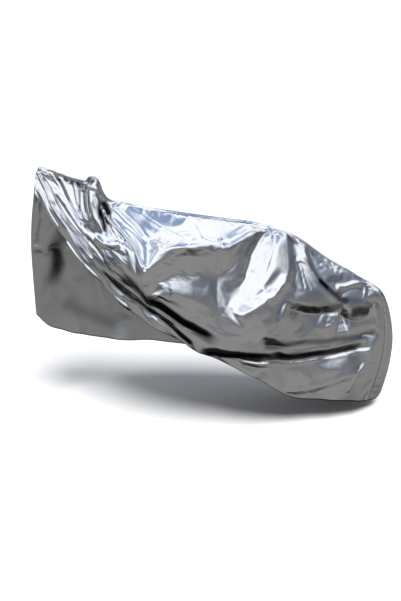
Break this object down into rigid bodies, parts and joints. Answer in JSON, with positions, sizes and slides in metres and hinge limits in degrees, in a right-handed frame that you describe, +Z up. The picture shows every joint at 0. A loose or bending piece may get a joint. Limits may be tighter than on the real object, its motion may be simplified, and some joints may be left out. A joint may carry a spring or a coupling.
{
  "type": "bicycle cover",
  "caption": "Fitted cover of silver film, draped as over a bicycle: hollow, open below, its left front pulled up in gathers, welded along the top and back.",
  "frame": {"origin": "under the top of the cover, over the saddle, where the bicycle holds it up", "axes": "+X from the front wheel to the rear wheel, +Y to the bicycle's right, +Z up; the floor is 0.886 m below the origin"},
  "size_m": [1.6136, 0.4677, 1.0735],
  "materials": {
    "silver_film": "aluminised plastic film, glossy and lightly creased"
  },
  "bodies": {
    "root": {"left_panel": "silver_film", "right_panel": "silver_film"}
  },
  "joints": []
}
